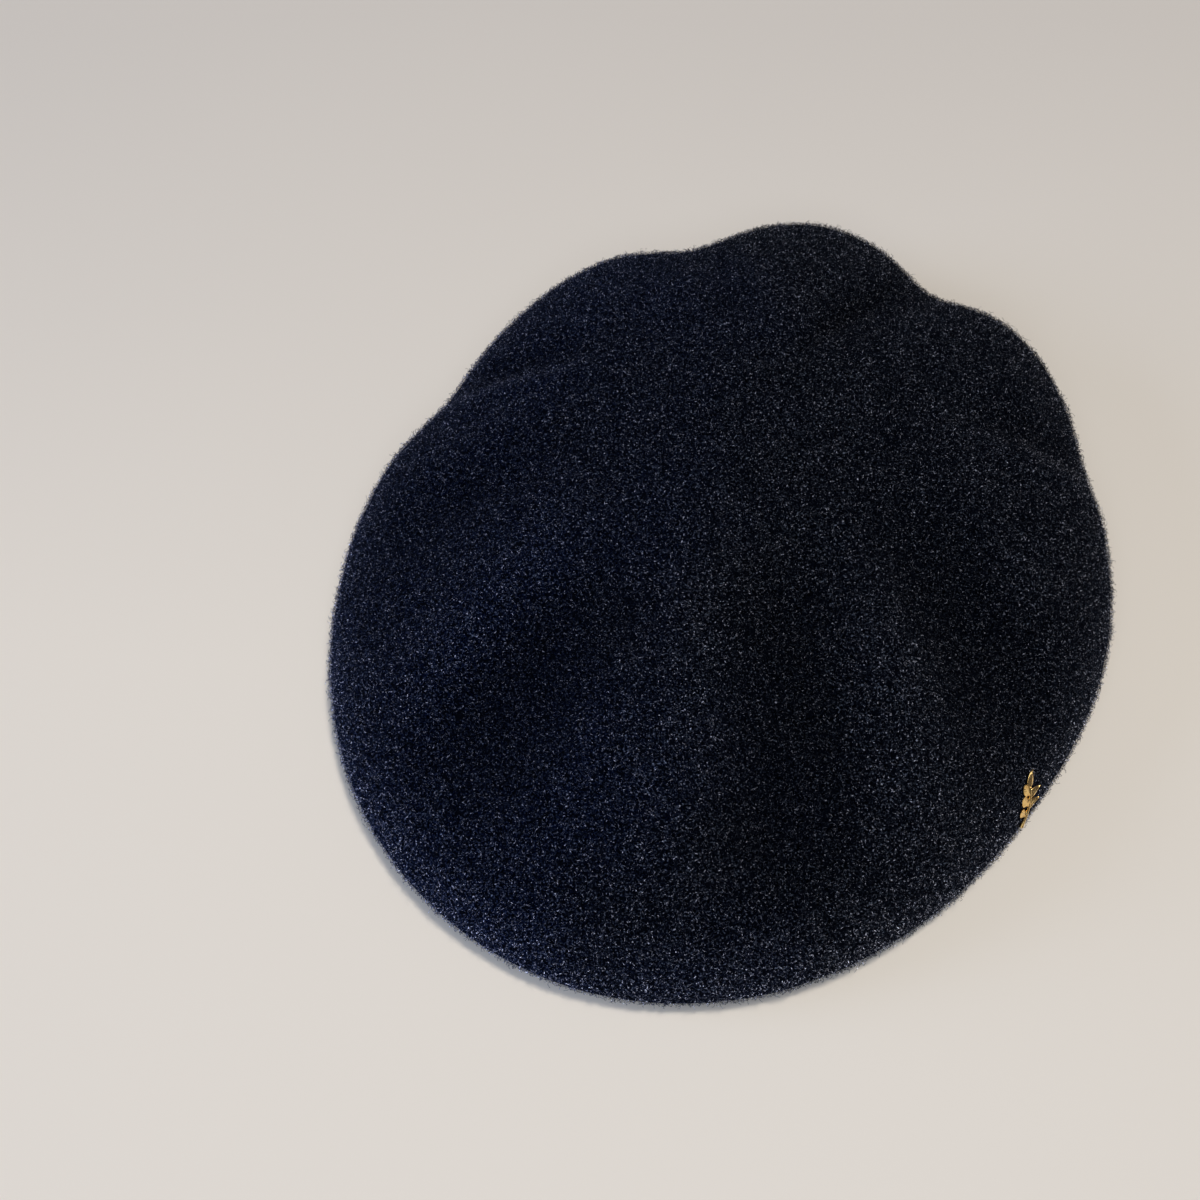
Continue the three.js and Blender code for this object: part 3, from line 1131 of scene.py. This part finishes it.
@dataclass
class Nap:
    """The short curly nap that stands out of the finished cloth, and is left out under the sprig.

    length_range to tip_sway are shares of a fibre's length, and sprig_margin to clear are distances
    in metres. None grows where the cloth's normal points further down than bare_below, and off_axis
    is a direction that hardly any fibre takes, from which the corners of its skin are set out.
    """

    form: BeretForm
    cloth: bpy.types.Object
    sprig: bpy.types.Object
    length_range: tuple[float, float] = (0.55, 1.45)
    shortest_reach: float = 0.2
    stray: float = 0.15
    tip_reach: float = 0.9
    tip_sway: float = 0.6
    bare_below: float = -0.8
    sprig_margin: float = 0.001
    sprig_clear: float = 0.0003
    sink: float = 0.0003
    clear: float = 0.0004
    off_axis: tuple[float, float, float] = (0.31, 0.17, 0.93)
    sides: int = 3
    seed: int = 7

    def outer_triangles(self) -> tuple[np.ndarray, np.ndarray]:
        """Reads the corners and corner normals of the cloth's outer face."""
        mesh = self.cloth.data
        mesh.calc_loop_triangles()
        normals = np.empty(len(mesh.vertices) * 3, dtype=np.float32)
        mesh.vertices.foreach_get("normal", normals)
        corners = np.empty(len(mesh.loop_triangles) * 3, dtype=np.int32)
        mesh.loop_triangles.foreach_get("vertices", corners)
        layer = np.empty(len(mesh.loop_triangles), dtype=np.int32)
        mesh.loop_triangles.foreach_get("material_index", layer)
        corners = corners.reshape(-1, 3)[layer == 0]
        return read_points(mesh)[corners], normals.reshape(-1, 3)[corners]

    def roots(self, rng: np.random.Generator, count: int) -> tuple[np.ndarray, np.ndarray]:
        """Scatters fibre roots evenly over the cloth.

        Args:
            rng: the source of chance.
            count: how many roots.

        Returns:
            The roots and the cloth's normals there.
        """
        points, normals = self.outer_triangles()
        area = np.linalg.norm(
            np.cross(points[:, 1] - points[:, 0], points[:, 2] - points[:, 0]), axis=1
        )
        area[normals[:, :, 2].mean(axis=1) < self.bare_below] = 0
        chosen = rng.choice(len(area), size=count, p=area / area.sum())
        a, b = rng.random((2, count, 1))
        fold_shade = a + b > 1
        a, b = np.where(fold_shade, 1 - a, a), np.where(fold_shade, 1 - b, b)
        p, n = points[chosen].astype(float), normals[chosen].astype(float)
        root = p[:, 0] * (1 - a - b) + p[:, 1] * a + p[:, 2] * b
        normal = unit(n[:, 0] * (1 - a - b) + n[:, 1] * a + n[:, 2] * b)
        return root, normal

    def paths(self, rng: np.random.Generator, layer: NapLayer) -> np.ndarray:
        """Draws the middle line of each fibre.

        Args:
            rng: the source of chance.
            layer: the kind of fibre.

        Returns:
            An array of fibres by points by three.
        """
        root, normal = self.roots(rng, layer.fibres)
        count = layer.fibres
        across = unit(np.cross(normal, unit(rng.normal(size=(count, 3)))))
        side = np.cross(normal, across)
        length = layer.length * rng.uniform(*self.length_range, (count, 1))
        rise = rng.uniform(*layer.rise, (count, 1)) * length
        bow = rng.uniform(*layer.bow, (count, 1)) * length
        flat = length**2 - np.maximum(rise, 0) ** 2
        flat = np.sqrt(np.maximum(flat, (self.shortest_reach * length) ** 2))
        stops = [root - normal * self.sink]
        for step in range(1, layer.segments):
            share = step / layer.segments
            arch = math.sin(math.pi * share)
            sway = rng.uniform(-1, 1, (count, 1)) * layer.curl * length * arch
            reach = share + rng.uniform(-self.stray, self.stray, (count, 1))
            stops.append(
                root + across * flat * reach + side * sway + normal * (rise * share + bow * arch)
            )
        sway = rng.uniform(-1, 1, (count, 1)) * layer.curl * length
        stops.append(
            root + across * flat * self.tip_reach + side * sway * self.tip_sway + normal * rise
        )
        lines = np.stack(stops, axis=1)
        lines = lines[lines[:, :, 2].min(axis=1) > self.clear]
        return lines[~self.pressed(lines)]

    def pressed(self, lines: np.ndarray) -> np.ndarray:
        """Tells which fibres the sprig holds down, so that none stands through it."""
        corners = np.array(self.sprig.bound_box)
        low, high = corners.min(axis=0) - self.sprig_margin, corners.max(axis=0) + self.sprig_margin
        near = ((lines > low) & (lines < high)).all(axis=2).any(axis=1)
        tree = BVHTree.FromPolygons(
            [vertex.co for vertex in self.sprig.data.vertices],
            [polygon.vertices for polygon in self.sprig.data.polygons],
        )
        for index in np.flatnonzero(near):
            reach = [tree.find_nearest(point, self.sprig_clear)[0] for point in lines[index].tolist()]
            near[index] = any(hit is not None for hit in reach)
        return near

    def spin_out(self, lines: np.ndarray, thickness: float) -> tuple[np.ndarray, np.ndarray]:
        """Gives each line a closed skin that is pointed at both ends.

        Args:
            lines: fibres by points by three.
            thickness: the fibre's diameter.

        Returns:
            Vertices and triangles of them all.
        """
        count, stops = lines.shape[:2]
        rings = stops - 2
        along = unit(lines[:, 2:] - lines[:, :-2])
        aside = unit(np.cross(along, np.array(self.off_axis)))
        other = np.cross(along, aside)
        turn = np.arange(self.sides) * FULL_TURN / self.sides
        ring = (
            aside[:, :, None] * np.cos(turn)[None, None, :, None]
            + other[:, :, None] * np.sin(turn)[None, None, :, None]
        )
        ring = lines[:, 1:-1, None] + ring * thickness / 2
        body = ring.reshape(count, rings * self.sides, 3)
        points = np.concatenate([lines[:, :1], body, lines[:, -1:]], axis=1)
        last = rings * self.sides + 1
        faces = []
        for i in range(self.sides):
            j = (i + 1) % self.sides
            faces.append((0, 1 + j, 1 + i))
            for r in range(rings - 1):
                a = 1 + r * self.sides
                b = a + self.sides
                faces.append((a + i, a + j, b + j))
                faces.append((a + i, b + j, b + i))
            end = 1 + (rings - 1) * self.sides
            faces.append((end + i, end + j, last))
        pattern = np.array(faces)
        starts = np.arange(count)[:, None, None] * (last + 1)
        return points.reshape(-1, 3), (pattern[None] + starts).reshape(-1, 3)

    def build(self) -> list[bpy.types.Object]:
        """Makes every nap piece.

        Returns:
            The pieces.
        """
        rng = np.random.default_rng(self.seed)
        material = NAP.material()
        pieces = []
        for layer in NAP_LAYERS:
            for number in range(1, layer.pieces + 1):
                lines = self.paths(rng, layer)
                points, triangles = self.spin_out(lines, layer.thickness)
                piece = mesh_from(f"{layer.name}_{number}", points, triangles, material)
                # The fibres take the painted shade and highlight of the cloth where they stand.
                write_painted_shading(piece, self.form.painted_shading(points))
                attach(piece, "root")
                pieces.append(piece)
        return pieces


# ---- Studio


@dataclass(frozen=True)
class SoftLight:
    """A square area light that looks at the beret. Angles are in degrees, sizes in metres."""

    name: str
    azimuth: float
    elevation: float
    distance: float
    size: float
    power: float
    colour: tuple[float, float, float]

    def place(self, target: Vector) -> None:
        """Adds the light, azimuth 0 being towards +X and 90 towards +Y."""
        a, e = math.radians(self.azimuth), math.radians(self.elevation)
        away = Vector((math.cos(a) * math.cos(e), math.sin(a) * math.cos(e), math.sin(e)))
        data = bpy.data.lights.new(self.name, "AREA")
        data.size = self.size
        data.energy = self.power
        data.color = self.colour
        light = bpy.data.objects.new(self.name, data)
        light.location = target + away * self.distance
        light.rotation_euler = (-away).to_track_quat("-Z", "Y").to_euler()
        bpy.context.collection.objects.link(light)


@dataclass(frozen=True)
class Studio:
    """The pale floor, with painted shade towards the back, the soft light and the camera."""

    floor_radius: float = 4.0
    floor_colour: Colour = (0.81, 0.775, 0.735, 1)
    # Painted shade: the floor darkens towards +Y, away from the camera, to the colour and between the
    # distances in metres given next.
    shaded_far_floor: Colour = (0.69, 0.665, 0.645, 1)
    floor_shade_fades: tuple[float, float] = (0.02, 0.34)
    sky: Colour = (0.87, 0.85, 1.0, 1)
    sky_strength: float = 0.10
    mottle_scale: float = 3.0
    mottle_share: float = 0.1
    lights: tuple[SoftLight, ...] = (
        SoftLight("key", 43, 76, 6.0, 0.8, 192.0, (1.0, 0.912, 0.768)),
        SoftLight("front", -100, 62, 1.25, 0.9, 4.8, (0.88, 0.94, 1.0)),
        SoftLight("left", 180, 20, 3.0, 1.5, 28.0, (0.595, 0.728, 1.0)),
    )
    light_aim: tuple[float, float, float] = (0, 0, 0.03)
    camera_elevation: float = 66
    camera_distance: float = 0.56
    camera_field: float = 44
    camera_aim: tuple[float, float] = (-0.0452, -0.0015)

    def lay_floor(self) -> None:
        """Lays the pale floor that the beret stands on, with painted shade darkening it towards the
        back.
        """
        nothing_selected()
        bpy.ops.mesh.primitive_circle_add(
            vertices=96, radius=self.floor_radius, fill_type="NGON", location=(0, 0, 0)
        )
        floor = bpy.context.active_object
        floor.name = "floor"
        material, nodes = new_material("pale_table")
        place = nodes.add("TexCoord").outputs["Object"]
        away = nodes.add("SeparateXYZ", Vector=place).outputs["Y"]
        drift = nodes.add("TexNoise", Vector=place, Scale=self.mottle_scale, Detail=2.0)
        uneven = nodes.math("MULTIPLY", drift.outputs["Fac"], self.mottle_share)
        # Painted shade: the floor goes over to the darker colour towards +Y, its edge made uneven by
        # noise.
        falloff_shade = nodes.spread(nodes.math("ADD", away, uneven), *self.floor_shade_fades)
        shader = nodes.add(
            "BsdfPrincipled",
            Base_Color=nodes.blend(falloff_shade, self.floor_colour, self.shaded_far_floor),
            Roughness=0.7,
            Specular_IOR_Level=0.2,
        )
        nodes.finish(shader)
        floor.data.materials.append(material)

    def light(self) -> None:
        """Sets the sky and the area lights."""
        world = bpy.data.worlds.new("studio")
        world.use_nodes = True
        sky = world.node_tree.nodes["Background"]
        sky.inputs["Color"].default_value = self.sky
        sky.inputs["Strength"].default_value = self.sky_strength
        bpy.context.scene.world = world
        for light in self.lights:
            light.place(Vector(self.light_aim))

    def set_camera(self) -> None:
        """Puts the camera in front of the beret, looking down on it."""
        data = bpy.data.cameras.new("camera")
        data.angle = math.radians(self.camera_field)
        camera = bpy.data.objects.new("camera", data)
        e = math.radians(self.camera_elevation)
        back = Vector((0, -math.cos(e), math.sin(e)))
        aim = Vector((*self.camera_aim, 0))
        camera.location = aim + back * self.camera_distance
        camera.rotation_euler = (-back).to_track_quat("-Z", "Y").to_euler()
        bpy.context.collection.objects.link(camera)
        bpy.context.scene.camera = camera

    def build(self) -> None:
        """Builds the whole studio."""
        self.lay_floor()
        self.light()
        self.set_camera()
        bpy.context.scene.view_settings.view_transform = "Standard"


# ---- All together


def main() -> None:
    """Builds the beret piece by piece, then the studio around it."""
    logging.basicConfig(level=logging.INFO, format="%(message)s")
    form = BeretForm()
    cloth = Cloth(form).build()
    LOG.info("%s: %d faces", cloth.name, len(cloth.data.polygons))
    sprig = Sprig(form).build()
    LOG.info("%s: %d faces", sprig.name, len(sprig.data.polygons))
    dress_clutch()
    for piece in Nap(form, cloth, sprig).build():
        LOG.info("%s: %d faces", piece.name, len(piece.data.polygons))
    Studio().build()


if __name__ == "__main__":
    main()
